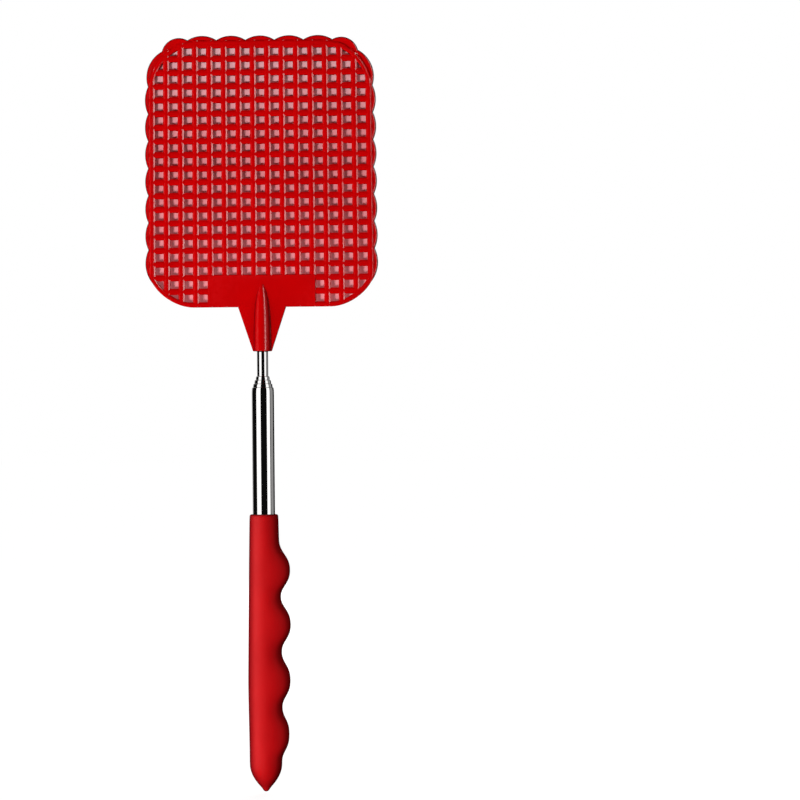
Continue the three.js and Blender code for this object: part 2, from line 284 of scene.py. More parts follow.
@dataclass
class NodeBoard:
    """A node tree with short ways to add and join nodes."""

    tree: bpy.types.NodeTree

    def add(self, kind: str, **settings: object) -> bpy.types.Node:
        """Adds a node.

        Args:
            kind: The node's type name.
            **settings: Properties by name.

        Returns:
            The new node.
        """
        node = self.tree.nodes.new(kind)
        for name, value in settings.items():
            setattr(node, name, value)
        return node

    def join(self, source: bpy.types.NodeSocket, target: bpy.types.NodeSocket) -> None:
        """Links an output to an input."""
        self.tree.links.new(source, target)

    def math(self, operation: str, first: object, second: object) -> bpy.types.NodeSocket:
        """Adds a Math node whose inputs are sockets or numbers.

        Args:
            operation: The operation's name.
            first: The first input.
            second: The second input.

        Returns:
            The node's output.
        """
        node = self.add("ShaderNodeMath", operation=operation)
        for value, socket in zip((first, second), node.inputs):
            if isinstance(value, bpy.types.NodeSocket):
                self.join(value, socket)
            else:
                socket.default_value = value
        return node.outputs[0]

    def noise(
        self, vector: bpy.types.NodeSocket, scale: object, detail: float = 3.0
    ) -> bpy.types.NodeSocket:
        """Adds a noise texture read at a vector, and gives its value."""
        node = self.add("ShaderNodeTexNoise")
        node.inputs["Detail"].default_value = detail
        self.join(vector, node.inputs["Vector"])
        if isinstance(scale, bpy.types.NodeSocket):
            self.join(scale, node.inputs["Scale"])
        else:
            node.inputs["Scale"].default_value = scale
        return node.outputs["Fac"]

    def span(
        self, value: bpy.types.NodeSocket, start: float, end: float, low: object, high: object
    ) -> bpy.types.NodeSocket:
        """Maps a value's stretch from start to end onto low to high.

        Args:
            value: The value to map.
            start: Where the stretch starts.
            end: Where it ends.
            low: The result at the start, a number or a socket.
            high: The result at the end, a number or a socket.

        Returns:
            The mapped value.
        """
        node = self.add("ShaderNodeMapRange")
        self.join(value, node.inputs["Value"])
        node.inputs["From Min"].default_value = start
        node.inputs["From Max"].default_value = end
        for name, limit in (("To Min", low), ("To Max", high)):
            if isinstance(limit, bpy.types.NodeSocket):
                self.join(limit, node.inputs[name])
            else:
                node.inputs[name].default_value = limit
        return node.outputs["Result"]


class SharedEffect:
    """A shader node group with named inputs and outputs, built once and placed in many materials."""

    name = "effect"
    inputs: tuple[tuple[str, str, object], ...] = ()
    outputs: tuple[tuple[str, str], ...] = ()

    @classmethod
    def group(cls) -> bpy.types.NodeTree:
        """Gives the group, building it the first time."""
        made = bpy.data.node_groups.get(cls.name)
        if made:
            return made
        tree = bpy.data.node_groups.new(cls.name, "ShaderNodeTree")
        for label, kind, value in cls.inputs:
            socket = tree.interface.new_socket(name=label, in_out="INPUT", socket_type=kind)
            socket.default_value = value
        for label, kind in cls.outputs:
            tree.interface.new_socket(name=label, in_out="OUTPUT", socket_type=kind)
        board = NodeBoard(tree)
        cls.wire(board, board.add("NodeGroupInput").outputs, board.add("NodeGroupOutput").inputs)
        return tree

    @classmethod
    def wire(cls, board: NodeBoard, given: object, result: object) -> None:
        """Builds the nodes between the group's inputs and outputs."""
        raise NotImplementedError

    @classmethod
    def place(cls, board: NodeBoard, **values: object) -> bpy.types.Node:
        """Adds the group to a material.

        Args:
            board: The material's nodes.
            **values: Input values, with _ for a space in an input's name.

        Returns:
            The group node.
        """
        node = board.add("ShaderNodeGroup", node_tree=cls.group())
        for label, value in values.items():
            node.inputs[label.replace("_", " ")].default_value = value
        return node


class Mottle(SharedEffect):
    """Colour that drifts softly between two tones, as a moulding's colour does."""

    name = "mottle"
    inputs = (
        ("Tone", "NodeSocketColor", (0.5, 0.5, 0.5, 1)),
        ("Other Tone", "NodeSocketColor", (0.4, 0.4, 0.4, 1)),
        ("Patch Size", "NodeSocketFloat", 60.0),
    )
    outputs = (("Color", "NodeSocketColor"),)

    @classmethod
    def wire(cls, board: NodeBoard, given: object, result: object) -> None:
        """Mixes the tones by a soft noise."""
        place = board.add("ShaderNodeTexCoord").outputs["Object"]
        patches = board.noise(place, given["Patch Size"], 4.0)
        share = board.span(patches, 0.35, 0.65, 0.0, 1.0)
        mix = board.add("ShaderNodeMix", data_type="RGBA")
        board.join(share, mix.inputs["Factor"])
        board.join(given["Tone"], mix.inputs[6])
        board.join(given["Other Tone"], mix.inputs[7])
        board.join(mix.outputs[2], result["Color"])


class Handling(SharedEffect):
    """Roughness that varies with smudges, wiped patches and fine dust from use."""

    name = "handling"
    inputs = (
        ("Clean", "NodeSocketFloat", 0.2),
        ("Smudged", "NodeSocketFloat", 0.4),
        ("Smudge Size", "NodeSocketFloat", 90.0),
    )
    outputs = (("Roughness", "NodeSocketFloat"),)

    @classmethod
    def wire(cls, board: NodeBoard, given: object, result: object) -> None:
        """Multiplies broad smudges by fine specks."""
        place = board.add("ShaderNodeTexCoord").outputs["Object"]
        broad = board.noise(place, given["Smudge Size"], 5.0)
        patch = board.span(broad, 0.42, 0.68, 0.0, 1.0)
        specks = board.noise(place, 2600.0, 2.0)
        speck = board.span(specks, 0.58, 0.75, 0.35, 1.0)
        share = board.math("MULTIPLY", patch, speck)
        board.join(board.span(share, 0.0, 1.0, given["Clean"], given["Smudged"]), result["Roughness"])


class SkinGrain(SharedEffect):
    """The fine skin of a moulded surface, as a height."""

    name = "skin_grain"
    inputs = (
        ("Grain Size", "NodeSocketFloat", 1500.0),
        ("Ripple Size", "NodeSocketFloat", 150.0),
        ("Ripple Share", "NodeSocketFloat", 0.5),
    )
    outputs = (("Height", "NodeSocketFloat"),)

    @classmethod
    def wire(cls, board: NodeBoard, given: object, result: object) -> None:
        """Adds a slow ripple to a fine grain."""
        place = board.add("ShaderNodeTexCoord").outputs["Object"]
        grain = board.noise(place, given["Grain Size"], 3.0)
        ripple = board.noise(place, given["Ripple Size"], 2.0)
        swell = board.math("MULTIPLY", ripple, given["Ripple Share"])
        board.join(board.math("ADD", grain, swell), result["Height"])


class DrawnLines(SharedEffect):
    """Hair-fine lines along the pole, left by drawing, polishing and sliding."""

    name = "drawn_lines"
    inputs = (("Lines Per Metre", "NodeSocketFloat", 6000.0),)
    outputs = (("Height", "NodeSocketFloat"), ("Lines", "NodeSocketFloat"))

    @classmethod
    def wire(cls, board: NodeBoard, given: object, result: object) -> None:
        """Stretches a noise along Z and keeps its peaks."""
        place = board.add("ShaderNodeTexCoord").outputs["Object"]
        stretch = board.add("ShaderNodeMapping")
        stretch.inputs["Scale"].default_value = (1.0, 1.0, 0.012)
        board.join(place, stretch.inputs["Vector"])
        lines = board.noise(stretch.outputs[0], given["Lines Per Metre"], 4.0)
        board.join(lines, result["Height"])
        board.join(board.span(lines, 0.56, 0.72, 0.0, 1.0), result["Lines"])


class EdgeWear(SharedEffect):
    """A mask that is high on worn, outstanding edges."""

    name = "edge_wear"
    inputs = (("Amount", "NodeSocketFloat", 0.5),)
    outputs = (("Mask", "NodeSocketFloat"),)

    @classmethod
    def wire(cls, board: NodeBoard, given: object, result: object) -> None:
        """Breaks up the outstanding edges with a noise."""
        sharp = board.add("ShaderNodeNewGeometry").outputs["Pointiness"]
        edges = board.span(sharp, 0.52, 0.6, 0.0, 1.0)
        place = board.add("ShaderNodeTexCoord").outputs["Object"]
        broken = board.span(board.noise(place, 700.0, 4.0), 0.4, 0.65, 0.2, 1.0)
        worn = board.math("MULTIPLY", edges, broken)
        board.join(board.math("MULTIPLY", worn, given["Amount"]), result["Mask"])


# ---------------------------------------------------------------------------------------------
# Finishes.
# ---------------------------------------------------------------------------------------------

Rgba = tuple[float, float, float, float]


def new_material(name: str) -> tuple[bpy.types.Material, NodeBoard, bpy.types.Node]:
    """Makes a material with an empty board, a Principled shader and its output.

    Args:
        name: The material's name.

    Returns:
        The material, its board and the shader.
    """
    material = bpy.data.materials.new(name)
    material.use_nodes = True
    board = NodeBoard(material.node_tree)
    board.tree.nodes.clear()
    shader = board.add("ShaderNodeBsdfPrincipled")
    board.join(shader.outputs[0], board.add("ShaderNodeOutputMaterial").inputs["Surface"])
    return material, board, shader


def raise_relief(
    board: NodeBoard, shader: bpy.types.Node, height: bpy.types.NodeSocket, depth: float
) -> None:
    """Bumps a shader's normal by a height.

    Args:
        board: The material's nodes.
        shader: The shader to bump.
        height: The relief, from 0 to 1.
        depth: How deep the relief is, in metres.
    """
    bump = board.add("ShaderNodeBump")
    bump.inputs["Strength"].default_value = 1.0
    bump.inputs["Distance"].default_value = depth
    board.join(height, bump.inputs["Height"])
    board.join(bump.outputs["Normal"], shader.inputs["Normal"])


def worn_colour(
    board: NodeBoard, base: bpy.types.NodeSocket, bare: Rgba, amount: float
) -> bpy.types.NodeSocket:
    """Mixes a base colour towards a bare one on worn edges.

    Args:
        board: The material's nodes.
        base: The colour away from the edges.
        bare: The colour of a worn edge.
        amount: How strongly the edges are worn.

    Returns:
        The mixed colour.
    """
    wear = EdgeWear.place(board, Amount=amount)
    mix = board.add("ShaderNodeMix", data_type="RGBA")
    board.join(wear.outputs["Mask"], mix.inputs["Factor"])
    board.join(base, mix.inputs[6])
    mix.inputs[7].default_value = bare
    return mix.outputs[2]


@dataclass(frozen=True)
class MouldedFinish:
    """A moulded plastic or rubber: mottled colour, handled gloss, a fine skin and, where given, painted
    shade on rims that turn away from view.
    """

    name: str
    tone: Rgba
    other_tone: Rgba
    worn_tone: Rgba
    clean: float
    smudged: float
    grain_size: float
    relief: float
    ripple_share: float = 0.5
    wear: float = 0.35
    specular: float = 0.5
    # Painted shade: the colour mixed in where the surface turns away from view.
    turned_away_shade_tone: Rgba | None = None

    def build(self) -> bpy.types.Material:
        """Makes the material."""
        material, board, shader = new_material(self.name)
        mottle = Mottle.place(board, Tone=self.tone, Other_Tone=self.other_tone, Patch_Size=70.0)
        colour = worn_colour(board, mottle.outputs["Color"], self.worn_tone, self.wear)
        # Paints shade onto rims that turn away from view.
        if self.turned_away_shade_tone:
            colour = self.paint_turned_away_shade(board, colour)
        board.join(colour, shader.inputs["Base Color"])
        gloss = Handling.place(board, Clean=self.clean, Smudged=self.smudged, Smudge_Size=80.0)
        board.join(gloss.outputs["Roughness"], shader.inputs["Roughness"])
        grain = SkinGrain.place(board, Grain_Size=self.grain_size, Ripple_Share=self.ripple_share)
        raise_relief(board, shader, grain.outputs["Height"], self.relief)
        shader.inputs["Specular IOR Level"].default_value = self.specular
        return material

    def paint_turned_away_shade(self, board: NodeBoard, colour: bpy.types.NodeSocket) -> bpy.types.NodeSocket:
        """Paints shade into the colour where the surface turns away from view.

        Args:
            board: The material's nodes.
            colour: The colour seen square on.

        Returns:
            The colour with its painted rim shade.
        """
        facing = board.add("ShaderNodeLayerWeight").outputs["Facing"]
        share = board.span(facing, 0.22, 0.7, 0.0, 1.0)
        mix = board.add("ShaderNodeMix", data_type="RGBA")
        board.join(share, mix.inputs["Factor"])
        board.join(colour, mix.inputs[6])
        mix.inputs[7].default_value = self.turned_away_shade_tone
        return mix.outputs[2]


@dataclass(frozen=True)
class MetalFinish:
    """A drawn or rolled metal: lengthways lines, smudges and slightly mottled colour."""

    name: str
    tone: Rgba
    other_tone: Rgba
    clean: float
    smudged: float
    line_roughness: float
    relief: float

    def build(self) -> bpy.types.Material:
        """Makes the material."""
        material, board, shader = new_material(self.name)
        mottle = Mottle.place(board, Tone=self.tone, Other_Tone=self.other_tone, Patch_Size=45.0)
        board.join(mottle.outputs["Color"], shader.inputs["Base Color"])
        shader.inputs["Metallic"].default_value = 1.0
        gloss = Handling.place(board, Clean=self.clean, Smudged=self.smudged, Smudge_Size=120.0)
        lines = DrawnLines.place(board)
        rough = board.math("MULTIPLY", lines.outputs["Lines"], self.line_roughness)
        board.join(board.math("ADD", gloss.outputs["Roughness"], rough), shader.inputs["Roughness"])
        raise_relief(board, shader, lines.outputs["Height"], self.relief)
        return material


RED_PLASTIC = MouldedFinish(
    name="red_plastic",
    tone=(0.66, 0.0002, 0.0012, 1),
    other_tone=(0.59, 0.0002, 0.0012, 1),
    worn_tone=(0.72, 0.008, 0.01, 1),
    clean=0.19,
    smudged=0.26,
    grain_size=900.0,
    relief=1.5e-6,
    ripple_share=2.0,
    specular=0.35,
    # Painted shade on the head's rims where they turn away from view.
    turned_away_shade_tone=(0.1, 0.0003, 0.002, 1),
)
RED_RUBBER = MouldedFinish(
    name="red_rubber",
    tone=(0.6, 0.003, 0.005, 1),
    other_tone=(0.54, 0.002, 0.004, 1),
    worn_tone=(0.64, 0.02, 0.025, 1),
    clean=0.55,
    smudged=0.7,
    grain_size=2400.0,
    relief=2.5e-5,
    specular=0.3,
    # Painted shade on the grip's flanks where they turn away from view.
    turned_away_shade_tone=(0.18, 0.001, 0.003, 1),
)
PLUG_PLASTIC = MouldedFinish(
    name="plug_plastic",
    tone=(0.03, 0.03, 0.033, 1),
    other_tone=(0.02, 0.02, 0.023, 1),
    worn_tone=(0.09, 0.09, 0.09, 1),
    clean=0.45,
    smudged=0.6,
    grain_size=1800.0,
    relief=1.5e-5,
)
POLISHED_STEEL = MetalFinish(
    name="polished_steel",
    tone=(0.86, 0.85, 0.84, 1),
    other_tone=(0.8, 0.79, 0.78, 1),
    clean=0.035,
    smudged=0.09,
    line_roughness=0.02,
    relief=1e-7,
)
BRASS = MetalFinish(
    name="brass",
    tone=(0.70, 0.50, 0.20, 1),
    other_tone=(0.55, 0.37, 0.13, 1),
    clean=0.22,
    smudged=0.4,
    line_roughness=0.1,
    relief=3e-6,
)
SPRING_BRONZE = MetalFinish(
    name="spring_bronze",
    tone=(0.62, 0.36, 0.18, 1),
    other_tone=(0.48, 0.26, 0.12, 1),
    clean=0.25,
    smudged=0.42,
    line_roughness=0.12,
    relief=3e-6,
)


class Finishes:
    """The finishes, each built once and kept under its record slot's name."""

    def __init__(self) -> None:
        """Builds the materials."""
        kinds = (RED_PLASTIC, RED_RUBBER, PLUG_PLASTIC, POLISHED_STEEL, BRASS, SPRING_BRONZE)
        self.materials = {kind.name: kind.build() for kind in kinds}

    def dress(
        self, piece: bpy.types.Object, name: str, slot: str, body: str, node: str, angle: float = 32
    ) -> bpy.types.Object:
        """Brings a finished piece to metres, gives it its finish and ties it to the frame.

        Args:
            piece: The piece, modelled in millimetres.
            name: The piece's name.
            slot: The record's material slot.
            body: The CAD body it rides on.
            node: The CAD node it stands for.
            angle: Edges sharper than this many degrees stay sharp.

        Returns:
            The piece.
        """
        take(piece)
        piece.name = name
        piece.data.name = name
        piece.scale = (MM, MM, MM)
        bpy.ops.object.transform_apply(location=True, rotation=True, scale=True)
        bpy.ops.object.shade_smooth_by_angle(angle=math.radians(angle))
        piece.data.materials.clear()
        piece.data.materials.append(self.materials[slot])
        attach(piece, body)
        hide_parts(node)
        LOG.info("%s: %d faces", name, len(piece.data.polygons))
        return piece


# ---------------------------------------------------------------------------------------------
# The telescopic pole.
# ---------------------------------------------------------------------------------------------


@dataclass
class SteelTube:
    """One drawn tube of the pole, with its mouth crimped in over the next tube."""

    node: str
    body: str
    next_node: str | None = None
    wall: float = 0.35
    crimp: float = 1.5
    bore_crimp: float = 1.5
    lip_clearance: float = 0.06
    lip_roll: float = 0.22
    lip_flat: float = 0.45
    lip_drop: float = 0.1
    lip_edge: float = 0.08
    sides: int = 72
    shoulder_rings: int = 7

    def profile(self) -> Profile:
        """Works out the tube's closed section from the frame's boxes."""
        low, high = box_mm(self.node)
        outer = (high.y - low.y) / 2
        bore = outer - self.wall
        foot, mouth = low.z, high.z
        if self.next_node is None:
            return [(bore, foot), (outer, foot), (outer, mouth), (bore, mouth), (bore, foot)]
        next_low, next_high = box_mm(self.next_node)
        lip = (next_high.y - next_low.y) / 2 + self.lip_clearance
        rolled = lip + self.lip_roll
        ring: Profile = [(bore, foot), (outer, foot)]
        for step in range(self.shoulder_rings + 1):
            turn = step / self.shoulder_rings * math.pi / 2
            radius = rolled + (outer - rolled) * math.cos(turn)
            ring.append((radius, mouth - self.crimp + (self.crimp - self.lip_drop) * math.sin(turn)))
        ring.append((lip + self.lip_roll * self.lip_flat, mouth))
        ring.append((lip, mouth - self.lip_edge))
        ring.append((lip, mouth - self.bore_crimp * 0.5))
        ring.append((bore, mouth - self.bore_crimp))
        ring.append((bore, foot))
        return ring

    def build(self, finishes: Finishes) -> bpy.types.Object:
        """Turns the tube, eases its cut ends and polishes it."""
        piece = turned(self.profile(), self.sides)
        round_edges(piece, 0.05, 2, CUT_EDGE)
        return finishes.dress(piece, f"{self.node}_polished", "polished_steel", self.body, self.node)


@dataclass
class GuideBush:
    """The brass bush on a sliding tube's foot, waisted for its two springs."""

    node: str
    body: str
    waist_depth: float = 0.4
    waist_length: float = 3.2
    body_length: float = 5.0
    chamfer: float = 0.12
    sides: int = 56

    def build(self, finishes: Finishes, tube: str) -> None:
        """Turns the bush.

        Args:
            finishes: The finishes to dress it from.
            tube: The tube whose foot it closes.
        """
        low, high = box_mm(self.node)
        tube_low, tube_high = box_mm(tube)
        rim = (high.y - low.y) / 2
        spigot = (tube_high.y - tube_low.y) / 2 - SteelTube.wall - SPIGOT_GAP
        hole = spigot / 2
        foot, top = low.z, high.z
        shoulder = tube_low.z - SPIGOT_GAP
        waist = rim - self.waist_depth
        waist_foot = foot + (self.body_length - self.waist_length) / 2
        piece = turned(
            [
                (hole, foot),
                (rim, foot),
                (rim, waist_foot),
                (waist, waist_foot),
                (waist, waist_foot + self.waist_length),
                (rim, waist_foot + self.waist_length),
                (rim, shoulder),
                (spigot, shoulder),
                (spigot, top),
                (hole, top),
                (hole, foot),
            ],
            self.sides,
        )
        round_edges(piece, self.chamfer, 2, CUT_EDGE)
        finishes.dress(piece, f"{self.node}_turned", "brass", self.body, self.node)


@dataclass
class FrictionSpring:
    """A half-round strip of bronze that presses a sliding tube against the bore of the next one."""

    node: str
    body: str
    thickness: float = 0.3
    arc: float = 150.0
    sides: int = 96

    def build(self, finishes: Finishes) -> None:
        """Bends the strip: an arc of edges, raised, thickened and eased."""
        low, high = box_mm(self.node)
        radius = (high.x - low.x) / 2 / math.sin(math.radians(self.arc / 2))
        side = -1 if low.y < 0 and abs(low.y) > abs(high.y) else 1
        clear_selection()
        bpy.ops.mesh.primitive_circle_add(vertices=self.sides, radius=radius, location=(0, 0, low.z))
        piece = bpy.context.object
        bpy.ops.object.transform_apply(location=True)
        edge = radius * math.cos(math.radians(self.arc / 2)) - CLOSE
        pick(piece, Pick.VERTS, lambda co: side * co.y < edge)
        bpy.ops.mesh.delete(type="VERT")
        bpy.ops.mesh.select_all(action="SELECT")
        rise = (0, 0, high.z - low.z)
        bpy.ops.mesh.extrude_region_move(TRANSFORM_OT_translate={"value": rise})
        leave_edit()
        make_tidy(piece)
        outward = sum(side * f.normal.y for f in piece.data.polygons)
        apply_modifier(piece, "SOLIDIFY", thickness=self.thickness, offset=-1 if outward > 0 else 1)
        make_tidy(piece)
        round_edges(piece, 0.06, 2, CUT_EDGE)
        finishes.dress(piece, f"{self.node}_strip", "spring_bronze", self.body, self.node)


@dataclass
class BasePlug:
    """The plug pressed into the foot of the outer tube, inside the grip."""

    node: str = "base_plug"
    recess: float = 1.6
    foot_share: float = 0.2
    core_mouth: float = 0.6
    core_floor: float = 0.55

    def build(self, finishes: Finishes) -> None:
        """Turns the plug, with a cored-out top."""
        low, high = box_mm(self.node)
        tube_low, _ = box_mm("tube_1")
        outer = (high.y - low.y) / 2
        body = outer - SteelTube.wall - SPIGOT_GAP
        seat = tube_low.z - SPIGOT_GAP
        piece = turned(
            [
                (outer * self.foot_share, low.z),
                (outer, low.z),
                (outer, seat),
                (body, seat),
                (body, high.z),
                (body * self.core_mouth, high.z),
                (body * self.core_floor, high.z - self.recess),
                (body * self.foot_share, high.z - self.recess),
            ],
            48,
            looped=False,
        )
        round_edges(piece, 0.15, 2, CUT_EDGE)
        finishes.dress(piece, "base_plug_moulded", "plug_plastic", "handle", self.node)


@dataclass
class TelescopicPole:
    """Five tubes with their bushes, springs and plug."""

    outer_crimp: float = 3.0
    bodies: tuple[str, ...] = ("handle", "stage_2", "stage_3", "stage_4", "swat")
    spring_bodies: tuple[str, ...] = ("handle", "stage_2", "stage_3", "stage_4", "tip_slider")

    def build(self, finishes: Finishes) -> None:
        """Builds every piece of the pole."""
        count = len(self.bodies)
        for index, body in enumerate(self.bodies, start=1):
            following = f"tube_{index + 1}" if index < count else None
            tube = SteelTube(f"tube_{index}", body, following)
            if index == 1:
                tube.crimp = self.outer_crimp
            tube.build(finishes)
            if index == 1:
                continue
            GuideBush(f"bush_{index}", body).build(finishes, f"tube_{index}")
            for side in ("front", "back"):
                FrictionSpring(f"spring_{index}_{side}", self.spring_bodies[index - 1]).build(finishes)
        BasePlug().build(finishes)


# ---------------------------------------------------------------------------------------------
# The grip.
# ---------------------------------------------------------------------------------------------


@dataclass
class FingerGrip:
    """The moulded sleeve with four finger swells and a pointed butt."""

    node: str = "grip"
    radius_top: float = 5.4
    radius_full: float = 6.45
    radius_butt: float = 6.12
    full_level: float = -10.0
    taper_power: float = 0.85
    butt_length: float = 10.5
    point_radius: float = 0.8
    swells: tuple[tuple[float, float], ...] = ((31.2, 3.9), (10.8, 3.65), (-10.2, 3.05), (-30.6, 2.7))
    swell_reach: float = 9.2
    swell_fullness: float = 1.5
    depth_ratio: float = 1.06
    rim_round: float = 0.7
    ring_crowding: float = 0.35
    mouth_chamfer: float = 0.15
    mouth_land: float = 1.0
    floor_chamfer: float = 0.4
    floor_gap: float = 0.3
    sides: int = 40
    rings: int = 52
    levels: list[float] = field(default_factory=list)

    def radius(self, z: float, top: float, foot: float) -> float:
        """Gives the sleeve's radius at a height.

        Args:
            z: The height.
            top: The grip's top.
            foot: The butt's point.

        Returns:
            The radius, without the finger swells.
        """
        down = min(1.0, (top - z) / (top - self.full_level)) ** self.taper_power
        low = min(1.0, max(0.0, (self.full_level - z) / (self.full_level - foot - self.butt_length)))
        narrowing = low * low * (3 - 2 * low) * (self.radius_full - self.radius_butt)
        sleeve = self.radius_top + (self.radius_full - self.radius_top) * down - narrowing
        butt = min(1.0, (z - foot) / self.butt_length)
        return max(self.point_radius, sleeve * (1 - (1 - butt) ** 2))

    def swell(self, z: float) -> float:
        """Gives how far the finger side stands out at a height."""
        tallest = 0.0
        for level, height in self.swells:
            reach = min(1.0, abs(z - level) / self.swell_reach) ** self.swell_fullness
            tallest = max(tallest, height * math.cos(reach * math.pi / 2) ** 2)
        return tallest

    def profile(self, bore: float, floor: float) -> Profile:
        """Works out the section from the butt's point, up the outside and down the bore."""
        low, high = box_mm(self.node)
        top = high.z - self.rim_round
        outer: Profile = []
        for ring in range(self.rings + 1):
            share = ring / self.rings
            z = low.z + (top - low.z) * (self.ring_crowding * share**2 + (1 - self.ring_crowding) * share)
            outer.append((self.radius(z, high.z, low.z), z))
        self.levels = [z for _, z in outer]
        edge = outer[-1][0]
        for step in (1, 2, 3):
            turn = step / 3 * math.pi / 2
            drop = self.rim_round * (1 - math.cos(turn))
            outer.append((edge - drop, top + self.rim_round * math.sin(turn)))
        outer.append((bore + self.mouth_chamfer, high.z))
        outer.append((bore, high.z - self.mouth_chamfer))
        outer.append((bore, high.z - self.mouth_land))
        outer.append((bore, floor + self.floor_chamfer))
        outer.append((bore - self.floor_chamfer, floor))
        return outer

    def build(self, finishes: Finishes) -> None:
        """Raises the sleeve, pulls out the finger side ring by ring and smooths it."""
        tube_low, tube_high = box_mm("tube_1")
        plug_low, _ = box_mm("base_plug")
        bore = (tube_high.y - tube_low.y) / 2 + SLIDE_GAP
        piece = turned(self.profile(bore, plug_low.z - self.floor_gap), self.sides, looped=False)
        low, high = box_mm(self.node)
        for z in self.levels:
            radius = self.radius(z, high.z, low.z)
            self.stretch(piece, z, (1, self.depth_ratio), front_only=False)
            if self.swell(z) > CLOSE:
                self.stretch(piece, z, (1 + self.swell(z) / radius, 1), front_only=True)
        apply_modifier(piece, "SUBSURF", levels=1, render_levels=1)
        finishes.dress(piece, "grip_moulded", "red_rubber", "handle", self.node, angle=45)

    @staticmethod
    def stretch(
        piece: bpy.types.Object,
        z: float,
        factors: tuple[float, float],
        front_only: bool,
    ) -> None:
        """Widens one ring of the outside about the pole's axis.

        Args:
            piece: The grip.
            z: The ring's height.
            factors: How much it widens across and in depth.
            front_only: Whether only the finger side is moved.
        """
        def on_ring(co: Vector) -> bool:
            """Says whether a point is on this ring's outside."""
            return abs(co.z - z) < CLOSE and (not front_only or co.x > CLOSE)

        pick(piece, Pick.VERTS, on_ring)
        bpy.ops.transform.resize(value=(factors[0], factors[1], 1), center_override=(0, 0, z))
        leave_edit()


# ---------------------------------------------------------------------------------------------
# The swat head.
# ---------------------------------------------------------------------------------------------


@dataclass
class Scallop:
    """One round lobe of the flange, from one cusp to the next, standing out by its rise."""

    start: Vector
    end: Vector
    rise: float

    @property
    def radius(self) -> float:
        """The lobe's radius."""
        half = (self.end - self.start).length / 2
        return (half * half + self.rise * self.rise) / (2 * self.rise)

    @property
    def centre(self) -> Vector:
        """The lobe's centre, on the paddle's side of its two cusps."""
        along = self.end - self.start
        inward = Vector((-along.y, along.x, 0)).normalized()
        return (self.start + self.end) / 2 + inward * (self.radius - self.rise)

    def mirrored(self) -> "Scallop":
        """The same lobe on the other side of the pole."""
        flip = Vector((-1, 1, 1))
        return Scallop(self.end * flip, self.start * flip, self.rise)


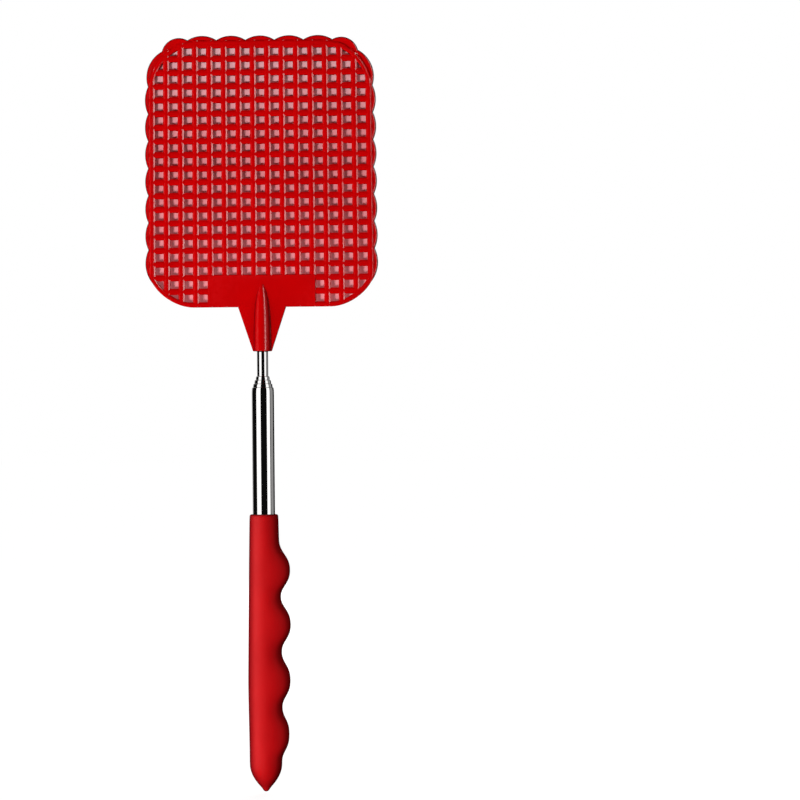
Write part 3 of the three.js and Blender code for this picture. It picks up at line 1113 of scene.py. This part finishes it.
@dataclass
class SwatHead:
    """The moulded paddle, drawn flat on the bench with its face up, then stood upright."""

    node: str = "swat_head"
    body: str = "swat"
    neck_length: float = 16.65
    side_stand_off: float = 1.5
    top_stand_off: float = 1.8
    top_corner: float = 18.8
    cheek_height: float = 11.7
    jowl_inset: float = 4.7
    jowl_rounding: float = 11.8
    upward_draft: float = 0.012
    frame_width: float = 1.8
    frame_face: float = 1.02
    frame_back: float = -1.3
    frame_shoulder: float = 0.6
    mesh_back: float = -0.6
    mesh_face: float = 0.95
    crown_width: float = 0.8
    crown_rise: float = 0.32
    columns: int = 15
    rows: int = 19
    column_pitch: float = 5.47
    row_pitch: float = 5.13
    first_row_drop: float = 1.8
    upright_width: float = 2.5
    cross_width: float = 2.35
    plain_columns: int = 7
    plain_rows: int = 2
    side_lobes: int = 7
    side_lobes_foot: float = 11.5
    side_lobes_drop: float = 17.2
    side_rise: float = 1.15
    side_gap: float = 0.35
    top_lobes: int = 5
    top_lobes_half: float = 27.5
    top_rise: float = 1.6
    top_gap: float = 0.2
    corner_cusp: tuple[float, float] = (5.0, 3.9)
    side_corner_rise: float = 2.6
    top_corner_rise: float = 2.6
    flange_back: float = -0.6
    flange_face: float = 0.72
    web_foot_half: float = 3.5
    web_top_half: float = 9.0
    web_thickness: float = 2.12
    socket_depth: float = 15.5
    cutter_thickness: float = 6.0
    overrun: float = 1.0
    cross_back_step: float = 0.04
    cross_face_step: float = 0.01

    def __post_init__(self) -> None:
        """Reads the head's box, and works out the paddle's sides from it."""
        low, high = box_mm(self.node)
        self.foot = low.z
        self.bottom = low.z + self.neck_length
        self.top = high.z - self.top_stand_off
        self.side = high.x - self.side_stand_off

    def outline(self, inset: float = 0.0) -> bpy.types.Object:
        """Lays the paddle's outline flat as one face.

        Args:
            inset: How far it is set in all round.

        Returns:
            The flat face.
        """
        clear_selection()
        bpy.ops.mesh.primitive_plane_add(size=1, location=(0, (self.bottom + self.top) / 2, 0))
        piece = bpy.context.object
        piece.scale = (2 * self.side, self.top - self.bottom, 1)
        bpy.ops.object.transform_apply(location=True, rotation=True, scale=True)
        cheek = Vector((self.side, self.bottom + self.cheek_height, 0))
        jowl = Vector((self.side - self.jowl_inset, self.bottom, 0))
        along = (jowl - cheek).normalized()
        for mirror in (1, -1):
            edit_all(piece)
            bpy.ops.mesh.bisect(
                plane_co=(cheek.x * mirror, cheek.y, 0),
                plane_no=(-along.y * mirror, along.x, 0),
                clear_outer=True,
            )
            leave_edit()
        pick(piece, Pick.VERTS, lambda co: co.y > self.top - CLOSE)
        bpy.ops.mesh.bevel(offset=self.top_corner, segments=16, affect="VERTICES")
        leave_edit()
        pick(piece, Pick.VERTS, lambda co: co.y < self.bottom + CLOSE)
        bpy.ops.mesh.bevel(offset=self.jowl_rounding, segments=12, affect="VERTICES")
        leave_edit()
        if inset:
            edit_all(piece)
            bpy.ops.mesh.inset(thickness=inset, depth=0)
            bpy.ops.mesh.select_all(action="INVERT")
            bpy.ops.mesh.delete(type="FACE")
            leave_edit()
        return piece

    def plate(self, inset: float, thickness: float) -> bpy.types.Object:
        """Gives the outline a thickness, half to each side."""
        piece = self.outline(inset)
        apply_modifier(piece, "SOLIDIFY", thickness=thickness, offset=0)
        make_tidy(piece)
        return piece

    def frame_ring(self) -> bpy.types.Object:
        """Builds the frame round the mesh, with rounded edges."""
        piece = self.outline()
        edit_all(piece)
        bpy.ops.mesh.inset(thickness=self.frame_width, depth=0)
        bpy.ops.mesh.delete(type="FACE")
        leave_edit()
        brow = self.frame_face - self.crown_rise
        thickness = brow - self.frame_back
        apply_modifier(piece, "SOLIDIFY", thickness=thickness, offset=(brow + self.frame_back) / thickness)
        make_tidy(piece)
        pick(piece, Pick.FACES, lambda co: co.z > brow - CLOSE)
        bpy.ops.mesh.inset(thickness=self.frame_shoulder, depth=self.crown_rise)
        leave_edit()
        round_edges(piece, 0.16, 3, 15)
        return piece

    def bar(self, low: Vector, high: Vector) -> bpy.types.Object:
        """Makes one bar of the mesh: a block, its face drawn up narrower and its edges eased.

        Args:
            low: The bar's lowest corner.
            high: Its highest corner.

        Returns:
            The bar.
        """
        shoulder = high.z - self.crown_rise
        piece = block(low, Vector((high.x, high.y, shoulder)))
        upright = high.y - low.y > high.x - low.x
        width = high.x - low.x if upright else high.y - low.y
        ratio = 1 - 2 * self.crown_width / width
        pick(piece, Pick.FACES, lambda co: co.z > shoulder - CLOSE)
        bpy.ops.mesh.extrude_region_move(TRANSFORM_OT_translate={"value": (0, 0, self.crown_rise)})
        narrowed = (ratio, 1, 1) if upright else (1, ratio, 1)
        bpy.ops.transform.resize(value=narrowed, center_override=(low + high) / 2)
        leave_edit()
        round_edges(piece, 0.1, 2, 15)
        return piece

    def row_of(self, first: bpy.types.Object, count: int, step: Vector) -> bpy.types.Object:
        """Repeats a bar at a steady pitch, and joins the bars, which don't touch, as one object."""
        bars = [first] + [copy_of(first, step * index) for index in range(1, count)]
        clear_selection()
        for item in bars:
            item.select_set(True)
        bpy.context.view_layer.objects.active = first
        bpy.ops.object.join()
        return first

    def lattice(self) -> bpy.types.Object:
        """Crosses the upright bars with the cross bars, fills the plain panel and trims the ends."""
        half = self.column_pitch * self.columns / 2
        highest = self.top - self.first_row_drop
        upright = self.bar(
            Vector((-half - self.upright_width / 2, self.bottom - self.overrun, self.mesh_back)),
            Vector((-half + self.upright_width / 2, self.top + self.overrun, self.mesh_face)),
        )
        uprights = self.row_of(upright, self.columns + 1, Vector((self.column_pitch, 0, 0)))
        reach = self.side + self.overrun
        back = self.mesh_back + self.cross_back_step
        face = self.mesh_face - self.cross_face_step
        cross = self.bar(
            Vector((-reach, highest - self.cross_width / 2, back)),
            Vector((reach, highest + self.cross_width / 2, face)),
        )
        crosses = self.row_of(cross, self.rows + 1, Vector((0, -self.row_pitch, 0)))
        panel_half = self.plain_columns * self.column_pitch / 2 + self.upright_width / 2 - 0.2
        panel_top = highest - (self.rows - self.plain_rows) * self.row_pitch + self.cross_width / 2
        panel = block(
            Vector((-panel_half, self.bottom + 0.4, self.mesh_back + 0.1)),
            Vector((panel_half, panel_top - 0.1, self.frame_face + 0.02)),
        )
        round_edges(panel, 0.35, 3)
        combine(uprights, [crosses, panel], Cut.JOIN)
        combine(uprights, [self.plate(self.frame_width / 2, self.cutter_thickness)], Cut.KEEP_SHARED)
        return uprights

    def scallops(self) -> list[Scallop]:
        """Sets out the lobes: up one side, over the corner, along the top and the same mirrored."""
        side = self.side + self.side_gap
        top = self.top + self.top_gap
        foot = self.bottom + self.side_lobes_foot
        head = self.top - self.side_lobes_drop
        step = (head - foot) / self.side_lobes
        right = [
            Scallop(
                Vector((side, foot + step * i, 0)),
                Vector((side, foot + step * (i + 1), 0)),
                self.side_rise,
            )
            for i in range(self.side_lobes)
        ]
        cusp = Vector((self.side - self.corner_cusp[0], self.top - self.corner_cusp[1], 0))
        shoulder = Vector((self.top_lobes_half, top, 0))
        right.append(Scallop(Vector((side, head, 0)), cusp, self.side_corner_rise))
        right.append(Scallop(cusp, shoulder, self.top_corner_rise))
        width = 2 * self.top_lobes_half / self.top_lobes
        across = [
            Scallop(
                Vector((self.top_lobes_half - width * i, top, 0)),
                Vector((self.top_lobes_half - width * (i + 1), top, 0)),
                self.top_rise,
            )
            for i in range(self.top_lobes)
        ]
        return right + across + [lobe.mirrored() for lobe in right]

    def lobe_disc(self, lobe: Scallop) -> bpy.types.Object:
        """Turns one lobe as a whole disc, with a rim that rolls over to its edge."""
        radius, face, back = lobe.radius, self.flange_face, self.flange_back
        disc = turned(
            [
                (radius * 0.4, back),
                (radius - 0.3, back),
                (radius - 0.08, back + 0.08),
                (radius, back + 0.28),
                (radius - 0.04, back + 0.5),
                (radius - 0.16, back + 0.78),
                (radius - 0.36, face - 0.12),
                (radius - 0.6, face - 0.01),
                (radius - 0.78, face),
                (radius - 0.95, face - 0.04),
                (radius - 1.55, face - 0.22),
                (radius - 1.7, face - 0.25),
                (radius * 0.4, face - 0.25),
            ],
            108,
            looped=False,
        )
        disc.location = lobe.centre
        take(disc)
        bpy.ops.object.transform_apply(location=True)
        return disc

    def flange(self) -> bpy.types.Object:
        """Joins the lobes and opens them along the middle of the frame."""
        discs = [self.lobe_disc(lobe) for lobe in self.scallops()]
        combine(discs[0], discs[1:], Cut.JOIN)
        combine(discs[0], [self.plate(self.frame_width / 2, self.cutter_thickness)], Cut.TAKE_AWAY)
        return discs[0]

    def narrow_upwards(self, piece: bpy.types.Object) -> None:
        """Draws the paddle a little narrower towards its top."""
        for shift in (-self.bottom, self.bottom):
            edit_all(piece)
            bpy.ops.transform.translate(value=(0, shift, 0))
            leave_edit()
            if shift < 0:
                apply_modifier(
                    piece,
                    "SIMPLE_DEFORM",
                    deform_method="TAPER",
                    deform_axis="Y",
                    factor=-self.upward_draft,
                    lock_z=True,
                )

    def web(self) -> bpy.types.Object:
        """Shapes the flat web that narrows from the paddle to the foot of the neck."""
        half = self.web_thickness / 2
        piece = block(
            Vector((-self.web_top_half, self.foot, -half)),
            Vector((self.web_top_half, self.bottom, half)),
        )
        pick(piece, Pick.VERTS, lambda co: co.y < self.foot + CLOSE)
        ratio = self.web_foot_half / self.web_top_half
        bpy.ops.transform.resize(value=(ratio, 1, 1), center_override=(0, self.foot, 0))
        leave_edit()
        pick(piece, Pick.FACES, lambda co: co.y > self.bottom - CLOSE)
        bpy.ops.mesh.extrude_region_move(TRANSFORM_OT_translate={"value": (0, 3, 0)})
        bpy.ops.transform.resize(value=(1, 1, 0.88), center_override=(0, self.bottom, 0))
        leave_edit()
        round_edges(piece, 0.32, 3)
        return piece

    def boss(self) -> bpy.types.Object:
        """Turns the round boss about the pole, with a nose that fades out on the paddle."""
        foot = self.foot
        return turned(
            [
                (2.9, foot),
                (3.3, foot + 0.12),
                (3.45, foot + 0.45),
                (3.42, foot + 4.5),
                (3.36, foot + 8.6),
                (3.22, foot + 12.2),
                (3.06, foot + 15.2),
                (2.78, foot + 18.0),
                (2.36, foot + 20.6),
                (1.8, foot + 23.0),
                (1.2, foot + 25.0),
                (0.55, foot + 26.4),
                (0.2, foot + 26.8),
            ],
            72,
            looped=False,
        )

    def build(self, finishes: Finishes) -> None:
        """Joins the frame, mesh, flange, web and boss as one moulding, and bores its socket."""
        piece = self.frame_ring()
        combine(piece, [self.lattice(), self.flange()], Cut.JOIN)
        self.narrow_upwards(piece)
        combine(piece, [self.web()], Cut.JOIN)
        take(piece)
        piece.rotation_euler = (math.pi / 2, 0, 0)
        bpy.ops.object.transform_apply(location=True, rotation=True, scale=True)
        tip_low, tip_high = box_mm("tube_5")
        bore = (tip_high.y - tip_low.y) / 2 + SLIDE_GAP
        socket = turned(
            [
                (bore + 0.3, self.foot - 1),
                (bore + 0.3, self.foot + 0.05),
                (bore, self.foot + 0.3),
                (bore, self.foot + self.socket_depth),
            ],
            64,
            looped=False,
        )
        combine(piece, [self.boss()], Cut.JOIN)
        combine(piece, [socket], Cut.TAKE_AWAY)
        make_tidy(piece, 0.002)
        finishes.dress(piece, "swat_head_moulded", "red_plastic", self.body, self.node, angle=25)
        apply_modifier(piece, "WEIGHTED_NORMAL", mode="FACE_AREA", keep_sharp=True)


# ---------------------------------------------------------------------------------------------
# The studio.
# ---------------------------------------------------------------------------------------------


class Reach(Enum):
    """Which part of a surface's answer a soft light gives."""

    SHADE = "shade"
    SHINE = "shine"


@dataclass(frozen=True)
class SoftBox:
    """A rectangular soft light, placed by its direction from the object."""

    name: str
    azimuth: float
    elevation: float
    distance: float
    width: float
    height: float
    radiance: float
    reach: Reach = Reach.SHADE
    slots: tuple[str, ...] = ()

    def build(self, target: Vector) -> None:
        """Hangs the light and aims it.

        Args:
            target: The point it faces.
        """
        turn, rise = math.radians(self.azimuth), math.radians(self.elevation)
        way = Vector((math.sin(turn) * math.cos(rise), -math.cos(turn) * math.cos(rise), math.sin(rise)))
        clear_selection()
        bpy.ops.object.light_add(type="AREA", location=target + way * self.distance)
        lamp = bpy.context.object
        lamp.name = self.name
        lamp.rotation_euler = way.to_track_quat("Z", "Y").to_euler()
        lamp.data.shape = "RECTANGLE"
        lamp.data.size = self.width
        lamp.data.size_y = self.height
        lamp.data.energy = self.radiance * math.pi * self.width * self.height
        lamp.visible_diffuse = self.reach is Reach.SHADE
        lamp.visible_glossy = self.reach is Reach.SHINE
        if self.slots:
            lit = bpy.data.collections.new(f"{self.name}_lit")
            for piece in bpy.context.scene.objects:
                if piece.type == "MESH" and piece.active_material:
                    if piece.active_material.name.split(".")[0] in self.slots:
                        lit.objects.link(piece)
            lamp.light_linking.receiver_collection = lit


POLE_SLOTS = ("polished_steel", "brass", "spring_bronze", "plug_plastic")
POLE_AND_GRIP = (*POLE_SLOTS, "red_rubber")


def blend_surface(
    board: NodeBoard, share: bpy.types.NodeSocket, first: bpy.types.Node, second: bpy.types.Node
) -> None:
    """Makes a material's surface a blend of two shaders.

    Args:
        board: The material's nodes.
        share: How much of the second shader shows.
        first: The shader at a share of 0.
        second: The shader at a share of 1.
    """
    mix = board.add("ShaderNodeMixShader")
    for source, target in zip((share, first.outputs[0], second.outputs[0]), mix.inputs):
        board.join(source, target)
    output = next(node for node in board.tree.nodes if node.type == "OUTPUT_MATERIAL")
    board.join(mix.outputs[0], output.inputs["Surface"])


@dataclass
class Studio:
    """A pale floor, a card behind the mesh with painted red bounce light, shade and glow, soft lights and
    the camera.
    """

    lens: float = 135.0
    camera_place: tuple[float, float, float] = (0.0514, -1.125, 0.0944)
    camera_roll: float = 0.5
    card_gap_top: float = 0.15
    card_gap_foot: float = 0.9
    floor_gap: float = 0.0004
    floor_reach: float = 6.0
    boxes: tuple[SoftBox, ...] = (
        SoftBox("key_low_left", -37, -18, 1.2, 0.3, 0.26, 46.0),
        SoftBox("left_soft", -68, 4, 1.0, 0.6, 0.9, 2.8),
        SoftBox("right_soft", 60, 4, 1.0, 0.6, 0.9, 1.9),
        SoftBox("rear_fill", 170, 25, 1.2, 0.9, 0.9, 4.5),
        SoftBox("plastic_shine", 41, 12, 1.2, 0.2, 1.2, 11.0, Reach.SHINE, ("red_plastic",)),
        SoftBox("left_panel", -46, 2, 1.0, 0.85, 2.4, 1.3, Reach.SHINE, POLE_AND_GRIP),
        SoftBox("right_panel", 59, 2, 1.1, 0.68, 2.4, 1.3, Reach.SHINE, POLE_SLOTS),
        SoftBox("right_side", 104, 2, 1.1, 0.8, 2.4, 0.3, Reach.SHINE, POLE_SLOTS),
        SoftBox("rear_left", -150, 5, 1.2, 0.6, 2.4, 0.45, Reach.SHINE, POLE_SLOTS),
        SoftBox("rear_panel", 180, 5, 1.2, 0.5, 2.4, 1.2, Reach.SHINE, POLE_SLOTS),
    )

    def light_room(self) -> None:
        """Makes the room white to look at and dim to light by."""
        world = bpy.data.worlds.new("room")
        bpy.context.scene.world = world
        world.use_nodes = True
        board = NodeBoard(world.node_tree)
        board.tree.nodes.clear()
        seen = board.add("ShaderNodeBackground")
        seen.inputs["Color"].default_value = (1, 1, 1, 1)
        seen.inputs["Strength"].default_value = 1.0
        lit = board.add("ShaderNodeBackground")
        lit.inputs["Color"].default_value = (1, 1, 1, 1)
        lit.inputs["Strength"].default_value = 0.004
        path = board.add("ShaderNodeLightPath")
        mix = board.add("ShaderNodeMixShader")
        board.join(path.outputs["Is Camera Ray"], mix.inputs[0])
        board.join(lit.outputs[0], mix.inputs[1])
        board.join(seen.outputs[0], mix.inputs[2])
        board.join(mix.outputs[0], board.add("ShaderNodeOutputWorld").inputs[0])

    def floor_material(self) -> bpy.types.Material:
        """Makes a pale floor that stays white to look at away from the object."""
        material, board, shader = new_material("pale_floor")
        shader.inputs["Roughness"].default_value = 0.8
        shader.inputs["Base Color"].default_value = (0.25, 0.25, 0.25, 1)
        glow = board.add("ShaderNodeEmission")
        place = board.add("ShaderNodeTexCoord").outputs["Object"]
        reach = board.add("ShaderNodeVectorMath", operation="LENGTH")
        board.join(place, reach.inputs[0])
        strength = board.span(reach.outputs["Value"], 0.1, 0.5, 0.93, 1.0)
        board.join(strength, glow.inputs["Strength"])
        both = board.add("ShaderNodeAddShader")
        board.join(shader.outputs[0], both.inputs[0])
        board.join(glow.outputs[0], both.inputs[1])
        camera = board.add("ShaderNodeLightPath").outputs["Is Camera Ray"]
        blend_surface(board, camera, board.add("ShaderNodeBsdfTransparent"), both)
        return material

    def lay_floor(self) -> None:
        """Lays the floor just under the butt."""
        clear_selection()
        bpy.ops.mesh.primitive_plane_add(size=2 * self.floor_reach, location=(0, 0, 0))
        floor = bpy.context.object
        floor.name = "floor"
        floor.location = (0, 0, CAD_BOX[0][2] - self.floor_gap)
        floor.data.materials.append(self.floor_material())

    def painted_bounce_card_material(self) -> bpy.types.Material:
        """Makes a card with painted red bounce light: deeper pink lower down as painted shade, with a
        painted glow towards its foot. It only shows when seen square on.
        """
        material, board, shader = new_material("painted_bounce_card")
        place = board.add("ShaderNodeTexCoord").outputs["Object"]
        split = board.add("ShaderNodeSeparateXYZ")
        board.join(place, split.inputs[0])
        # Painted shade and bounce light: deeper pink below, paler above, standing in for the red-lit
        # shadow behind the mesh.
        shade_fade = board.span(split.outputs["Z"], 0.19, 0.23, 0.0, 1.0)
        bounce_tint = board.add("ShaderNodeMix", data_type="RGBA")
        board.join(shade_fade, bounce_tint.inputs["Factor"])
        bounce_tint.inputs[6].default_value = (0.95, 0.36, 0.39, 1)
        bounce_tint.inputs[7].default_value = (0.95, 0.62, 0.66, 1)
        board.join(bounce_tint.outputs[2], shader.inputs["Base Color"])
        # Painted light: a pink glow, strongest towards the foot, lifting the shadows behind the lower
        # rows.
        shader.inputs["Emission Color"].default_value = (1, 0.34, 0.38, 1)
        rise = board.span(split.outputs["Z"], 0.13, 0.18, 0.22, 0.02)
        board.join(rise, shader.inputs["Emission Strength"])
        shader.inputs["Roughness"].default_value = 0.9
        back = board.add("ShaderNodeNewGeometry").outputs["Backfacing"]
        camera = board.add("ShaderNodeLightPath").outputs["Is Camera Ray"]
        facing = board.add("ShaderNodeLayerWeight").outputs["Facing"]
        aslant = board.span(facing, 0.02, 0.08, 0.0, 1.0)
        unseen = board.math("MAXIMUM", back, board.math("SUBTRACT", 1.0, camera))
        clear = board.add("ShaderNodeBsdfTransparent")
        blend_surface(board, board.math("MAXIMUM", unseen, aslant), shader, clear)
        return material

    def hang_card(self, head: SwatHead) -> None:
        """Hangs the card just behind the mesh, leaning back towards its foot.

        Args:
            head: The head whose outline the card keeps inside.
        """
        card = head.outline(head.frame_width * 0.7)
        card.name = "card"
        card.rotation_euler = (math.pi / 2, 0, 0)
        bpy.ops.object.transform_apply(location=True, rotation=True, scale=True)
        for level, gap in ((head.bottom, self.card_gap_foot), (head.top, self.card_gap_top)):
            pick(card, Pick.VERTS, lambda co, at=level: abs(co.z - at) < 25)
            bpy.ops.transform.translate(value=(0, -head.mesh_back + gap, 0))
            leave_edit()
        card.scale = (MM, MM, MM)
        bpy.ops.object.transform_apply(location=True, rotation=True, scale=True)
        card.data.materials.append(self.painted_bounce_card_material())
        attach(card, head.body)

    def place_camera(self) -> None:
        """Sets the camera level with the object's middle, a little to its right."""
        clear_selection()
        turn = (math.pi / 2, math.radians(self.camera_roll), 0)
        bpy.ops.object.camera_add(location=self.camera_place, rotation=turn)
        camera = bpy.context.object
        camera.name = "camera"
        camera.data.lens = self.lens
        camera.data.sensor_width = 36
        camera.data.clip_start = 0.01
        bpy.context.scene.camera = camera

    def build(self, head: SwatHead) -> None:
        """Sets up the studio round the finished object."""
        self.light_room()
        self.lay_floor()
        self.hang_card(head)
        middle = (Vector(CAD_BOX[0]) + Vector(CAD_BOX[1])) / 2
        for soft_box in self.boxes:
            soft_box.build(middle)
        self.place_camera()
        bpy.context.scene.view_settings.view_transform = "Standard"


def main() -> None:
    """Builds the swatter from the pole up, then the studio round it."""
    logging.basicConfig(level=logging.INFO, format="%(name)s %(message)s")
    finishes = Finishes()
    TelescopicPole().build(finishes)
    FingerGrip().build(finishes)
    head = SwatHead()
    head.build(finishes)
    Studio().build(head)


if __name__ == "__main__":
    main()
